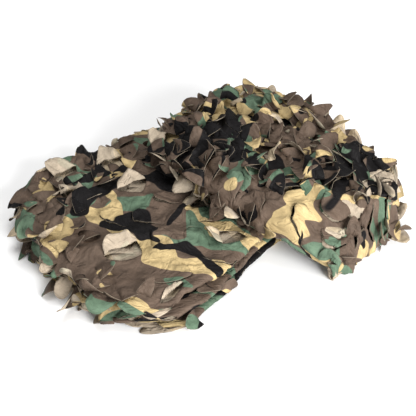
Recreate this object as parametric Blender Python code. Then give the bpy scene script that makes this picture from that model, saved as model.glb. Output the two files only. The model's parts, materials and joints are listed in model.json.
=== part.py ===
"""A camouflage net, put away: one sheet of leaf-cut cloth, folded into a strip and doubled over itself.

The sheet runs back and forth across a strip of six layers. The strip lies flat at its near end, as
the low pad, and at its far end it turns back over itself twice, as the high bundle. Leaves cut in the
cloth stand up over the holes that they leave. Metres, +Z up, and the pile lies on z = 0.
"""

import math
import random

import bmesh
import bpy
from mathutils import Vector
from mathutils.bvhtree import BVHTree

# The sheet and the strip that it is folded into
CLOTH = 0.0014  # thickness of the sheet
LAYERS = 6  # layers across the strip
PITCH = 0.0083  # from one layer to the next
HALF_WIDTH = 0.159  # from the strip's middle to where a layer turns back
UNEVEN = 0.006  # how far the turned edges stray from a straight line
STRIP = CLOTH + (LAYERS - 1) * PITCH  # thickness of the whole strip

# The strip's way along the pile: out along the floor, back over itself, and out again
NEAR_END = -0.232
FAR_TURN = 0.143
NEAR_TURN = 0.011
FAR_END = 0.172
TURN_RADIUS = STRIP / 2 + 0.005

# How the strip's width changes in plan, and how far its middle lies from the pile's middle line
NEAR_FAN, NECK, FAR_FAN = 1.02, 0.90, 1.00
NEAR_SHIFT, FAR_SHIFT = -0.027, 0.051
ROUNDING = {"near": 0.25, "front": 0.44, "back": 0.27}  # of the strip's length, lost at its corners

# How the weight of the cloth settles it
SETTLING = 0.58  # of the bundle's height that is left
EDGE_SETTLING = 0.20  # of the pad's height that is lost at its turned edges
WAVES = 0.005  # height of the soft waves in the pad's upper side
DROOP = 0.030  # from the bundle's overhanging edge down to the floor

# Where the pile's own frame stands on the floor
LIE = math.radians(45)  # from +X to the strip's direction
MIDDLE = (-0.0002, -0.0146)  # of the pile's box, in the frame that the strip is laid in

# Steps of the sheet's mesh
ACROSS = (-1.00, -0.62, -0.25, 0.12, 0.46, 0.75, 1.00)  # in half widths
ACROSS_STEPS = len(ACROSS) - 1
EDGE_OUT = 0.0035  # how far a turned edge stands out past the ends of its layers
EDGE_BEND = (0.14, 0.86)  # its corners, in pitches
EDGE_STEPS = len(EDGE_BEND) + 1
PAD_STEPS, BUNDLE_STEPS, TURN_STEPS = 6, 3, 4

# The leaves: how many of the cells in each place are cut, how far they are lifted and curled
# in degrees, how long they are, and how much of the cell is left standing round the hole
LEAVES = {
    "pad": {"share": 0.85, "lift": (16, 50), "curl": (-14, 6), "length": (0.024, 0.032), "margin": 0.16},
    "near turn": {"share": 0.70, "lift": (25, 75), "curl": (-25, 15), "length": (0.024, 0.036), "margin": 0.16},
    "crown": {"share": 1.00, "lift": (22, 80), "curl": (-40, 20), "length": (0.028, 0.038), "margin": 0.15},
    "far turn": {"share": 0.90, "lift": (20, 80), "curl": (-30, 15), "length": (0.026, 0.040), "margin": 0.16},
    "turned edge": {"share": 0.80, "lift": (-25, 20), "curl": (-50, 15), "length": (0.022, 0.036), "margin": 0.14},
    "end": {"lift": (-14, 10), "curl": (-30, 12), "length": (0.018, 0.034)},
}
LEAF_ROWS = ((0.42, 0.90), (0.78, 0.70), (1.00, 0.0))  # (share of the length, share of the root's width)
END_ROWS = ((0.38, 0.84), (0.76, 0.56), (1.00, 0.0))
NECKED_ROWS = ((0.28, 0.72), (0.70, 0.86), (1.00, 0.0))
ROOM = 0.0021  # from the middle of a leaf to the middle of the cloth next to it
TRIES = 6  # of a leaf's size and side, before its cell is left whole
MOST_TWIST = 0.006  # of a cell that is cut, from flat

SEED = 11


def ease(x):
    """0 below 0, 1 above 1, and a soft step between them."""
    x = min(max(x, 0.0), 1.0)
    return x * x * (3 - 2 * x)


def hump(x):
    """1 at 0, falling to 0 on both sides."""
    return math.exp(-x * x)


def blend(a, b, share):
    return a + (b - a) * share


def waves(x, y, phase):
    """An uneven wave from -1 to 1 over the floor, about 90 mm from crest to crest."""
    first = math.sin(61 * x + 23 * y + phase)
    second = math.sin(-31 * x + 57 * y + 2.3 * phase)
    third = math.sin(97 * x - 71 * y + 1.7 * phase)
    return (first + second + 0.7 * third) / 2.7


def strip_way():
    """The places down the strip's middle line, one for each row of the sheet's vertices.

    A place is the leg that leads to it, the length r, the height, and the way (r, z) that the
    strip's upper side faces.
    """
    def straight(leg, stations, height, heading):
        return [(leg, r, height, 0.0, heading) for r in stations]

    def turn(leg, at, height, heading):
        places = []
        for step in range(1, TURN_STEPS + 1):
            angle = math.pi * step / TURN_STEPS
            r = at + TURN_RADIUS * heading * math.sin(angle)
            up = height + TURN_RADIUS * (1 - math.cos(angle))
            places.append((leg, r, up, -math.sin(angle), heading * math.cos(angle)))
        return places

    first = STRIP / 2
    second = first + 2 * TURN_RADIUS
    third = second + 2 * TURN_RADIUS
    open_part = [blend(NEAR_END, NEAR_TURN, step / PAD_STEPS) for step in range(PAD_STEPS)]
    shared = [blend(NEAR_TURN, FAR_TURN, step / BUNDLE_STEPS) for step in range(BUNDLE_STEPS + 1)]
    return (
        straight("pad", open_part + shared, first, 1)
        + turn("far turn", FAR_TURN, first, 1)
        + straight("inside", shared[-2::-1], second, -1)
        + turn("near turn", NEAR_TURN, second, -1)
        + straight("crown", shared[1:] + [FAR_END], third, 1)
    )


def edge_reach(edge, along):
    """How far out the turned edge of that number lies: unevenly, but for under and in the bundle."""
    stray = math.sin(19 * along + 2.1 * edge) + 0.6 * math.sin(43 * along + 4.7 * edge)
    return HALF_WIDTH + UNEVEN * stray / 1.6 * (1 - ease((along + 0.06) / 0.08))


def across_strip(along):
    """Stations across the strip, (p, q), from one free edge of the sheet to the other."""
    stations = []
    for layer in range(LAYERS):
        way = 1 if layer % 2 == 0 else -1
        q = CLOTH / 2 + layer * PITCH
        end = way * edge_reach(layer, along)
        stations.append((-way * edge_reach(layer - 1, along), q))
        for share in ACROSS[1:-1][::way]:
            stations.append((share * HALF_WIDTH, q))
        stations.append((end, q))
        if layer == LAYERS - 1:
            break
        for up in EDGE_BEND:
            stations.append((end + way * EDGE_OUT, q + up * PITCH))
    return stations


def low_plan(r):
    """How wide the lowest pass lies at the length r, as a scale, and how far its middle is shifted."""
    far = ease((r - 0.01) / (FAR_TURN - 0.01))
    scale = blend(blend(NEAR_FAN, NECK, ease((r + 0.20) / 0.21)), FAR_FAN, far)
    return scale, blend(NEAR_SHIFT, FAR_SHIFT, far)


def settle(r, p, z):
    """Lays a point of the even strip where it lies in the pile, on the floor."""
    side = p / HALF_WIDTH
    upper = ease((z - STRIP) / 0.006)
    scale, shift = low_plan(r)
    plan_p = blend(scale * p + shift, FAR_FAN * p + FAR_SHIFT, upper)

    rounded = ROUNDING["front" if p > 0 else "back"] * abs(side) ** 3
    high_r = 0.09 + (r - 0.09) * (1 - rounded)
    low_r = r
    if r < 0:
        low_r = r * (1 - ROUNDING["near"] * abs(side) ** 3)
    elif r > 0.09:
        low_r = high_r
    plan_r = blend(low_r, high_r, upper)

    # The pad thins out to its edges, and the bundle lies on it and is highest at its middle
    pad_side = (plan_p - shift) / (scale * HALF_WIDTH)
    pad_top = STRIP * (1 - EDGE_SETTLING * min(abs(pad_side), 1.0) ** 2)
    pad_top += WAVES * waves(plan_r, plan_p, 1.0) * (1 - ease((plan_r + 0.07) / 0.06))
    pad = min((z - CLOTH / 2) / STRIP, 1.0)
    over = max(z - CLOTH / 2 - STRIP, 0.0)
    dome = 0.78 + 0.22 * hump((r - 0.10) / 0.15) * hump((p + 0.02) / 0.17)
    height = pad * pad_top + over * SETTLING * dome
    overhang = plan_p - (scale * HALF_WIDTH + shift)
    height -= DROOP * upper * ease((overhang - 0.033) / 0.060)

    x = plan_r * math.cos(LIE) + plan_p * math.sin(LIE) - MIDDLE[0]
    y = plan_r * math.sin(LIE) - plan_p * math.cos(LIE) - MIDDLE[1]
    return Vector((x, y, max(height, 0.0) + CLOTH / 2))


def on_floor_way(r, p, z):
    """A direction of the strip's frame, turned onto the floor."""
    x = r * math.cos(LIE) + p * math.sin(LIE)
    y = r * math.sin(LIE) - p * math.cos(LIE)
    return Vector((x, y, z))


def lay_sheet(bm):
    """Makes the sheet's cells. Gives the rows of vertices across the strip, and the cells between them.

    A cell is its face, the leg that it is in, the layer or turned edge, and the way out of the pile.
    """
    rows, legs, ups = [], [], []
    for leg, r, height, lean, up in strip_way():
        row = []
        for p, q in across_strip(r + height):
            off = q - STRIP / 2
            row.append(bm.verts.new(settle(r + off * lean, p, height + off * up)))
        rows.append(row)
        legs.append(leg)
        ups.append((lean, up))

    cells = []
    block = ACROSS_STEPS + EDGE_STEPS
    for along, leg in enumerate(legs[1:]):
        lean, up = ups[along + 1]
        for across in range(len(rows[0]) - 1):
            low, high = rows[along], rows[along + 1]
            face = bm.faces.new((low[across], low[across + 1], high[across + 1], high[across]))
            layer, place = divmod(across, block)
            turned = place >= ACROSS_STEPS
            if turned:
                out = on_floor_way(0, 1 if layer % 2 == 0 else -1, 0)
                place -= ACROSS_STEPS
            else:
                side = 1 if layer >= LAYERS / 2 else -1
                out = on_floor_way(side * lean, 0, side * up)
            cells.append({
                "face": face, "leg": leg, "along": along, "layer": layer,
                "place": place, "turned": turned, "out": out, "cut": False,
            })
    return rows, cells


def split_cell(bm, cell):
    """Splits a cell in two, the same way in every layer, so that twisted layers stay parallel."""
    corners = list(cell["face"].verts)
    if len(corners) > 4:
        return
    if cell["layer"] % 2:
        corners = corners[1:] + corners[:1]
    bm.faces.remove(cell["face"])
    bm.faces.new((corners[0], corners[1], corners[2]))
    bm.faces.new((corners[0], corners[2], corners[3]))


def outward(cell):
    """The cell's normal on the outside of the pile."""
    out = cell["face"].normal.copy()
    return out if out.dot(cell["out"]) > 0 else -out


def leaf_places(cells):
    """The cells that a leaf can be cut in, each with its row of the table."""
    outer = {"pad": LAYERS - 1, "near turn": LAYERS - 1, "crown": LAYERS - 1, "far turn": 0}
    for cell in cells:
        if cell["turned"]:
            if cell["place"] == EDGE_STEPS // 2 and (cell["along"] + cell["layer"] // 2) % 2:
                yield cell, LEAVES["turned edge"]
        elif outer.get(cell["leg"]) == cell["layer"]:
            if cell["leg"] != "pad" or cell["along"] < PAD_STEPS - 1:
                yield cell, LEAVES[cell["leg"]]


def leaf_points(root, ahead, out, sizes, rows):
    """The leaf's points row by row, from its root: two a row, and one at the tip."""
    start, end = root
    middle = (start + end) / 2
    half = (end - start) / 2
    points = []
    before = 0.0
    for share, width in rows:
        angle = sizes["lift"] + sizes["curl"] * share
        middle = middle + sizes["length"] * (share - before) * (
            ahead * math.cos(angle) + out * math.sin(angle)
        )
        before = share
        tilt = out * (sizes["twist"] * share * half.length)
        if width > 0:
            points.append((middle - half * width - tilt, middle + half * width + tilt))
        else:
            points.append((middle + half * sizes["lean"],))
    return points


def has_room(tree, rooted_on, root, points):
    """Whether the leaf stands clear of the cloth. Its first row may touch the faces it is rooted on."""
    first = tuple(start.lerp(end, 0.1) for start, end in zip(root, points[0]))
    rows = [first] + [row if len(row) == 2 else row * 2 for row in points]
    allowed = rooted_on
    for low, high in zip(rows, rows[1:]):
        corners = (low[0], low[1], high[1], high[0])
        faces = [(0, 1, 2), (0, 2, 3)] if high[0] != high[1] else [(0, 1, 2)]
        crossed = {index for index, _ in tree.overlap(BVHTree.FromPolygons(corners, faces))}
        if crossed - allowed:
            return False
        for across in (0.0, 0.25, 0.5, 0.75, 1.0):
            for along in (0.25, 0.5, 0.75, 1.0):
                point = low[0].lerp(low[1], across).lerp(high[0].lerp(high[1], across), along)
                near = {found[2] for found in tree.find_nearest_range(point, ROOM)}
                if point.z < 2 * CLOTH or near - allowed:
                    return False
        allowed = set()
    return True


def add_leaf(bm, root_verts, points):
    """Makes the leaf's faces on the two vertices of its root."""
    left, right = root_verts
    for row in points:
        if len(row) == 2:
            next_left, next_right = bm.verts.new(row[0]), bm.verts.new(row[1])
            bm.faces.new((left, right, next_right, next_left))
            left, right = next_left, next_right
        else:
            bm.faces.new((left, right, bm.verts.new(row[0])))


def pick_sizes(style, rng):
    return {
        "lift": math.radians(rng.uniform(*style["lift"])),
        "curl": math.radians(rng.uniform(*style["curl"])),
        "length": rng.uniform(*style["length"]),
        "twist": rng.uniform(-0.3, 0.3),
        "lean": rng.uniform(-0.45, 0.45),
    }


def cut_leaf(bm, cell, style, tree, rng):
    """Opens the cell, leaving a frame of cloth round the hole, and stands its leaf up at one side."""
    face = cell["face"]
    verts = list(face.verts)
    corners = [vert.co.copy() for vert in verts]
    near, far = style["margin"], 1 - style["margin"]
    hole = []
    for u, v in ((near, near), (far, near), (far, far), (near, far)):
        hole.append(corners[0].lerp(corners[1], u).lerp(corners[3].lerp(corners[2], u), v))
    out = outward(cell)
    if abs((corners[0] - corners[1] + corners[2] - corners[3]).dot(out)) > MOST_TWIST:
        return False
    for _ in range(TRIES):
        side = rng.randrange(4)
        after = (side + 1) % 4
        root = (hole[after], hole[side])
        ahead = hole[(side + 2) % 4] + hole[(side + 3) % 4] - root[0] - root[1]
        points = leaf_points(root, ahead.normalized(), out, pick_sizes(style, rng), LEAF_ROWS)
        if has_room(tree, {face.index}, root, points):
            break
    else:
        return False
    inner = [bm.verts.new(point) for point in hole]
    bm.faces.remove(face)
    for number in range(4):
        after = (number + 1) % 4
        bm.faces.new((verts[number], verts[after], inner[after], inner[number]))
    add_leaf(bm, (inner[(side + 1) % 4], inner[side]), points)
    return True


def cut_turned_edge(bm, cell, style, tree, rng):
    """Opens the cell along the outside of a fold, and lets its leaf stand out from the pile."""
    low_start, low_end, high_end, high_start = cell["face"].verts
    ahead = outward(cell)
    near, far = style["margin"], 1 - style["margin"]
    for _ in range(TRIES):
        side = rng.randrange(2)
        start, end = ((low_start, high_start), (high_end, low_end))[side]
        root = (start.co.lerp(end.co, near), start.co.lerp(end.co, far))
        up = ahead.cross(root[1] - root[0]).normalized()
        if up.z < 0:
            up = -up
        points = leaf_points(root, ahead, up, pick_sizes(style, rng), NECKED_ROWS)
        rooted_on = {face.index for face in bm.edges.get((start, end)).link_faces}
        if has_room(tree, rooted_on, root, points):
            break
    else:
        return False
    first = split_twice(bm, low_start, high_start, near, far)
    second = split_twice(bm, low_end, high_end, near, far)
    bm.faces.remove(cell["face"])
    bm.faces.new((low_start, low_end, second[0], first[0]))
    bm.faces.new((first[1], second[1], high_end, high_start))
    add_leaf(bm, (second[1], second[0]) if side else first, points)
    return True


def split_twice(bm, start, end, near, far):
    """Puts two vertices on an edge."""
    low = bmesh.utils.edge_split(bm.edges.get((start, end)), start, near)[1]
    high = bmesh.utils.edge_split(bm.edges.get((low, end)), low, (far - near) / (1 - near))[1]
    return low, high


def add_end_leaves(bm, row, ahead, drop, rng):
    """Cuts the sheet's end into leaves: one on each step of the row, but for the turned edges."""
    block = ACROSS_STEPS + EDGE_STEPS
    for across in range(len(row) - 1):
        layer, place = divmod(across, block)
        if place >= ACROSS_STEPS:
            continue
        bm.faces.index_update()
        tree = BVHTree.FromBMesh(bm)
        ends = (row[across], row[across + 1])
        rooted_on = {face.index for vert in ends for face in vert.link_faces}
        for _ in range(TRIES):
            sizes = pick_sizes(LEAVES["end"], rng)
            sizes["lift"] -= drop * layer
            points = leaf_points((ends[0].co, ends[1].co), ahead, Vector((0, 0, 1)), sizes, END_ROWS)
            if has_room(tree, rooted_on, (ends[0].co, ends[1].co), points):
                add_leaf(bm, ends, points)
                break


def printed_cloth():
    """The cloth's overall colour, between its brown, sand, green and black."""
    material = bpy.data.materials.new("printed_cloth")
    material.use_nodes = True
    shader = material.node_tree.nodes["Principled BSDF"]
    shader.inputs["Base Color"].default_value = (0.20, 0.165, 0.105, 1.0)
    shader.inputs["Roughness"].default_value = 0.75
    shader.inputs["Metallic"].default_value = 0.0
    return material


def build():
    rng = random.Random(SEED)
    bm = bmesh.new()
    rows, cells = lay_sheet(bm)
    bm.normal_update()

    for cell, style in leaf_places(cells):
        if rng.random() < style["share"]:
            bm.faces.index_update()
            tree = BVHTree.FromBMesh(bm)
            cut = cut_turned_edge if cell["turned"] else cut_leaf
            cell["cut"] = cut(bm, cell, style, tree, rng)
    for cell in cells:
        if not cell["cut"]:
            split_cell(bm, cell)
    add_end_leaves(bm, rows[0], on_floor_way(-1, 0, 0), math.radians(3), rng)
    add_end_leaves(bm, rows[-1], on_floor_way(1, 0, 0), math.radians(1), rng)

    bmesh.ops.recalc_face_normals(bm, faces=bm.faces[:])
    for face in bm.faces:
        face.smooth = True
    mesh = bpy.data.meshes.new("camouflage_net")
    bm.to_mesh(mesh)
    bm.free()
    net = bpy.data.objects.new("camouflage_net", mesh)
    bpy.context.scene.collection.objects.link(net)
    solid = net.modifiers.new("Cloth thickness", "SOLIDIFY")
    solid.thickness = CLOTH
    solid.offset = 0.0
    mesh.materials.append(printed_cloth())
    return net


for old in list(bpy.data.objects):
    bpy.data.objects.remove(old)
build()
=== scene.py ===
import json
import math
import random

import bpy
import numpy as np
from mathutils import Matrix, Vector
from mathutils.geometry import delaunay_2d_cdt
from mathutils.kdtree import KDTree

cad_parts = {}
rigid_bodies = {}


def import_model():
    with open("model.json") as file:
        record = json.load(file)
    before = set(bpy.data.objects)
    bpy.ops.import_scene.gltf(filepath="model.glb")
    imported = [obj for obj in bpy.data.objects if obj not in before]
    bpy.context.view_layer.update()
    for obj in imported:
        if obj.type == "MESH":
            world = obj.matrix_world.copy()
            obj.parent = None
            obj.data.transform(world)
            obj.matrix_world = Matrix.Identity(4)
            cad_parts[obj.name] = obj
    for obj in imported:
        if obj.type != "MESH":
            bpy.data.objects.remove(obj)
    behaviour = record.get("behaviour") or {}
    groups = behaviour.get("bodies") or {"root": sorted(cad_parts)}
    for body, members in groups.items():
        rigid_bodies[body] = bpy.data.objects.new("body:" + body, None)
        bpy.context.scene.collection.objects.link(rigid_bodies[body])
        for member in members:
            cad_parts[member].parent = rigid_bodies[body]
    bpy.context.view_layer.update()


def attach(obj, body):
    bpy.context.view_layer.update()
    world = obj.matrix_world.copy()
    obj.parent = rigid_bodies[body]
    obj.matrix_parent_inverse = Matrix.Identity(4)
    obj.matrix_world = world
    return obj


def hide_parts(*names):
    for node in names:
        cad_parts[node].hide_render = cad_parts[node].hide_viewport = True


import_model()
print("frame loaded")

# A camouflage net, put away: one leaf-cut sheet, folded to and fro into a strip of six layers, and the
# strip doubled over itself. Lengths are in metres and angles in degrees.
# A place on the sheet is (across, along): how far it is from the sheet's free edge through the folds of
# the strip, and how far from the strip's near end.

fold = {
    "layers": 6,
    "cloth": 0.0014,
    "pitch": 0.0083,  # from one layer to the next
    "halfWidth": 0.159,
    "uneven": 0.006,  # how far the turned edges stray
    "stepIn": 0.011,  # how much further in the topmost turned edge of the front side lies than its lowest
    "stepOut": 0.004,  # and how far out the lowest lies
    "nearEnd": -0.232, "farTurn": 0.143, "nearTurn": 0.011, "farEnd": 0.172,  # the strip's way
    "turnGap": 0.005,
}
plan = {
    "nearFan": 1.02, "neck": 0.90, "farFan": 1.00,  # how wide the strip lies
    "nearShift": -0.027, "farShift": 0.051,
    "roundNear": 0.25, "roundFront": 0.35, "roundBack": 0.27,  # of the corners
    "lie": 45, "middle": (-0.0002, -0.0146),  # how it is turned on the floor, and about what point
}
settling = {
    "bundle": 0.58,  # how much of the bundle's height is left
    "edge": 0.20, "waves": 0.005, "droop": 0.030, "backSink": 0.08, "leftSink": 0.14,
    "dome": 0.22, "domeMiddle": (0.10, -0.02), "domeReach": (0.15, 0.17),
    "corners": 0.09,  # how far up the strip its corners begin to round
}
fades = {  # where a change begins, and over what length it comes
    "upper": (0.0, 0.006), "neck": (-0.20, 0.21), "even": (-0.06, 0.08), "noWaves": (-0.07, 0.06),
    "backSink": (0.09, 0.09), "leftSink": (0.06, 0.09), "droop": (0.033, 0.060),
}

strip = fold["cloth"] + (fold["layers"] - 1) * fold["pitch"]  # thickness of the whole strip
turnRadius = strip / 2 + fold["turnGap"]
layerWidth = 2 * fold["halfWidth"]
bendRadius = fold["pitch"] / 2
bendLength = math.pi * bendRadius
stepAcross = layerWidth + bendLength  # from the start of a layer to the start of the next
sheetWidth = fold["layers"] * layerWidth + (fold["layers"] - 1) * bendLength

padLength = fold["farTurn"] - fold["nearEnd"]
turnLength = math.pi * turnRadius
insideLength = fold["farTurn"] - fold["nearTurn"]
crownLength = fold["farEnd"] - fold["nearTurn"]
farTurnStart = padLength
insideStart = farTurnStart + turnLength
nearTurnStart = insideStart + insideLength
crownStart = nearTurnStart + turnLength
stripLength = crownStart + crownLength


def ease(x):
    x = np.clip(x, 0.0, 1.0)
    return x * x * (3 - 2 * x)


def faded(x, name):
    start, width = fades[name]
    return ease((x - start) / width)


def hump(x):
    return np.exp(-x * x)


def blend(a, b, share):
    return a + (b - a) * share


def softWaves(x, y, phase):
    first = np.sin(61 * x + 23 * y + phase)
    second = np.sin(-31 * x + 57 * y + 2.3 * phase)
    third = np.sin(97 * x - 71 * y + 1.7 * phase)
    return (first + second + 0.7 * third) / 2.7


def stripPlace(t):
    # the strip's middle line at the length t: its (r, height), and the way (r, z) that its top faces
    first = strip / 2
    second = first + 2 * turnRadius
    third = second + 2 * turnRadius
    farAngle = np.clip((t - farTurnStart) / turnRadius, 0, math.pi)
    nearAngle = np.clip((t - nearTurnStart) / turnRadius, 0, math.pi)
    legs = [t < farTurnStart, t < insideStart, t < nearTurnStart, t < crownStart]
    r = np.select(legs, [
        fold["nearEnd"] + t,
        fold["farTurn"] + turnRadius * np.sin(farAngle),
        fold["farTurn"] - (t - insideStart),
        fold["nearTurn"] - turnRadius * np.sin(nearAngle),
    ], fold["nearTurn"] + t - crownStart)
    height = np.select(legs, [
        first + 0 * t,
        first + turnRadius * (1 - np.cos(farAngle)),
        second + 0 * t,
        second + turnRadius * (1 - np.cos(nearAngle)),
    ], third)
    lean = np.select(legs, [0 * t, -np.sin(farAngle), 0 * t, -np.sin(nearAngle)], 0.0)
    up = np.select(legs, [1 + 0 * t, np.cos(farAngle), -1 + 0 * t, -np.cos(nearAngle)], 1.0)
    return r, height, lean, up


def edgeReach(edge, along):
    # how far out the turned edge of that number lies: unevenly, but for under and in the bundle
    stray = np.sin(19 * along + 2.1 * edge) + 0.6 * np.sin(43 * along + 4.7 * edge)
    stepped = np.where(edge % 2 == 0, fold["stepIn"] * edge / (fold["layers"] - 2) - fold["stepOut"], 0)
    return fold["halfWidth"] + (fold["uneven"] * stray / 1.6 - stepped) * (1 - faded(along, "even"))


def acrossPlace(a, along):
    # (p, q) in the strip's section: p out from its middle line, and q up through its layers
    layer = np.clip(np.floor(a / stepAcross), 0, fold["layers"] - 1)
    local = a - layer * stepAcross
    way = np.where(layer % 2 == 0, 1.0, -1.0)
    start, end = edgeReach(layer - 1, along), edgeReach(layer, along)
    flat = np.clip(local / layerWidth, -1, 1)
    last = layer == fold["layers"] - 1
    flat = np.where(last, local / layerWidth, flat)
    p = way * blend(-start, end, flat)
    q = fold["cloth"] / 2 + layer * fold["pitch"]
    angle = np.where(last, 0.0, np.clip((local - layerWidth) / bendRadius, 0, math.pi))
    return p + way * bendRadius * np.sin(angle), q + bendRadius * (1 - np.cos(angle))


def settle(r, p, z):
    # takes a point of the even strip to where it lies in the pile
    side = p / fold["halfWidth"]
    upper = faded(z - strip, "upper")
    far = ease((r - 0.01) / (fold["farTurn"] - 0.01))
    scale = blend(blend(plan["nearFan"], plan["neck"], faded(r, "neck")), plan["farFan"], far)
    shift = blend(plan["nearShift"], plan["farShift"], far)
    planP = blend(scale * p + shift, plan["farFan"] * p + plan["farShift"], upper)

    cube = np.abs(side) ** 3
    rounded = np.where(p > 0, plan["roundFront"], plan["roundBack"]) * cube
    corners = settling["corners"]
    highR = corners + (r - corners) * (1 - rounded)
    lowR = np.where(r < 0, r * (1 - plan["roundNear"] * cube), np.where(r > corners, highR, r))
    planR = blend(lowR, highR, upper)

    padSide = (planP - shift) / (scale * fold["halfWidth"])
    padTop = strip * (1 - settling["edge"] * np.minimum(np.abs(padSide), 1.0) ** 2)
    padTop = padTop + settling["waves"] * softWaves(planR, planP, 1.0) * (1 - faded(planR, "noWaves"))
    pad = np.minimum((z - fold["cloth"] / 2) / strip, 1.0)
    over = np.maximum(z - fold["cloth"] / 2 - strip, 0.0)
    middle, reach = settling["domeMiddle"], settling["domeReach"]
    dome = hump((r - middle[0]) / reach[0]) * hump((p - middle[1]) / reach[1])
    dome = 1 - settling["dome"] + settling["dome"] * dome
    sunk = 1 - settling["backSink"] * faded(planR, "backSink") - settling["leftSink"] * faded(-p, "leftSink")
    height = pad * padTop + over * settling["bundle"] * dome * sunk
    overhang = planP - (scale * fold["halfWidth"] + shift)
    height = height - settling["droop"] * upper * faded(overhang, "droop")

    turn = math.radians(plan["lie"])
    x = planR * math.cos(turn) + planP * math.sin(turn) - plan["middle"][0]
    y = planR * math.sin(turn) - planP * math.cos(turn) - plan["middle"][1]
    return np.stack([x, y, np.maximum(height, 0.0) + fold["cloth"] / 2], axis=-1)


def laid(a, t):
    r, height, lean, up = stripPlace(t)
    p, q = acrossPlace(a, r + height)
    off = q - strip / 2
    return settle(r + off * lean, p, height + off * up)


curtain = {"hang": 0.062, "out": 0.012, "bottom": 0.007}


def laidWithCurtain(a, t):
    # as laid, but the turned edge before the last layer hangs over the bundle's front end in a fold
    hang = curtain["hang"]
    down = (fold["layers"] - 1) * stepAcross - a
    inner = down - hang - bendLength
    share = np.clip(np.where(inner > 0, 1 - inner / hang, down / hang), 0, 1)
    turned = np.clip((down - hang) / bendRadius, 0, math.pi)
    rim = laid(np.full_like(a, (fold["layers"] - 1) * stepAcross), t)
    out = curtain["out"] * np.sin(share * math.pi / 2) - bendRadius * (1 - np.cos(turned))
    drop = np.maximum(rim[:, 2] - curtain["bottom"], 0) * (1 - np.cos(share * math.pi / 2))
    drop = drop + bendRadius * np.sin(turned)
    turn = math.radians(plan["lie"])
    hung = rim + np.stack([out * math.sin(turn), -out * math.cos(turn), -drop], axis=-1)
    whole = laid(np.where(inner > hang, a + 2 * hang, a), t)
    return np.where(((down > 0) & (inner < hang))[:, None], hung, whole)


def lengthTable(layer):
    # the real length along a layer against the strip's own length t, which the turns stretch
    t = np.linspace(0, stripLength, 900)
    a = np.full_like(t, layer * stepAcross + layerWidth / 2)
    steps = np.linalg.norm(np.diff(laid(a, t), axis=0), axis=1)
    return t, np.concatenate([[0.0], np.cumsum(steps)])


def alongToStrip(table, b):
    # past the ends of the table, a length stays a length
    t, lengths = table
    inside = np.interp(b, lengths, t)
    return inside + np.minimum(b, 0) + np.maximum(b - lengths[-1], 0)


crushed = {"folds": 5, "wobble": 0.45, "wobbles": 2.9, "softness": 0.02, "mean": 0.52, "height": 3.2}


def creases(x, y, size, seed):
    # folds as in crushed cloth: facets that meet in soft ridges, from about -1 to 1
    draw = np.random.default_rng(seed)
    total = np.zeros_like(x)
    for _ in range(crushed["folds"]):
        heading, across = draw.uniform(0, 2 * math.pi, 2)
        wobble = np.sin((x * math.cos(across) + y * math.sin(across)) * crushed["wobbles"] / size + across)
        wobble = crushed["wobble"] * size * wobble
        wave = ((x * math.cos(heading) + y * math.sin(heading) + wobble) / size + heading) % 1.0
        total += np.sqrt((2 * wave - 1) ** 2 + crushed["softness"])
    return (total / crushed["folds"] - crushed["mean"]) * crushed["height"]


meshing = {  # in steps of the panel's mesh
    "outline": 0.85, "flapOutline": 0.7, "side": 1.3, "hinge": 1.1, "row": 0.87, "stray": 0.18, "apart": 0.6,
    "coarse": 3,  # one point in so many is kept where nothing fine shows
}
room = {"edge": 0.002, "flap": 0.42}  # kept free of cut leaves: at a panel's edge, and in cells about a flap
lobe = {"narrowest": 0.012, "gap": 0.002, "bulge": (-0.1, 0.15), "lean": (-0.4, 0.4)}
bending = {"steps": 24, "hinge": 0.16, "start": 0.15, "crease": 0.2, "cupFrom": 0.5, "cupLevel": 0.3}
laying = {
    "drifts": 0.055,  # the size of the folds that push the cloth about within its own face
    "seam": 0.015, "tiny": 0.0006, "lowest": 0.0006, "ripple": 0.0004,
}


def leafOutline(width, length, power, fullness, bulge, lean, step):
    # from one end of the hinge round to the other; the hinge is on y = 0
    count = max(7, int((width + 2 * length) / step))
    angle = np.linspace(0, math.pi, count)
    x = -np.cos(angle) * width / 2 * (1 + bulge * np.sin(angle))
    y = length * (1 - np.abs(np.cos(angle)) ** power) ** fullness
    return np.stack([x + lean * y, y], axis=-1)


def drawPose(style, rng):
    kinds = style["poses"]
    kind = rng.choices(kinds, [k["share"] for k in kinds])[0]
    return {
        "lift": math.radians(rng.uniform(*kind["lift"])),
        "curl": math.radians(rng.uniform(*kind["curl"])),
        "twist": math.radians(rng.uniform(-1, 1) * kind["twist"]),
        "cup": rng.uniform(-1, 1) * style["cup"],
        "crease": rng.uniform(0.1, 0.6),
        "creased": rng.random() < style["creased"],
    }


def turned(angle):
    return np.array([[math.cos(angle), math.sin(angle)], [-math.sin(angle), math.cos(angle)]])


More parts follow.
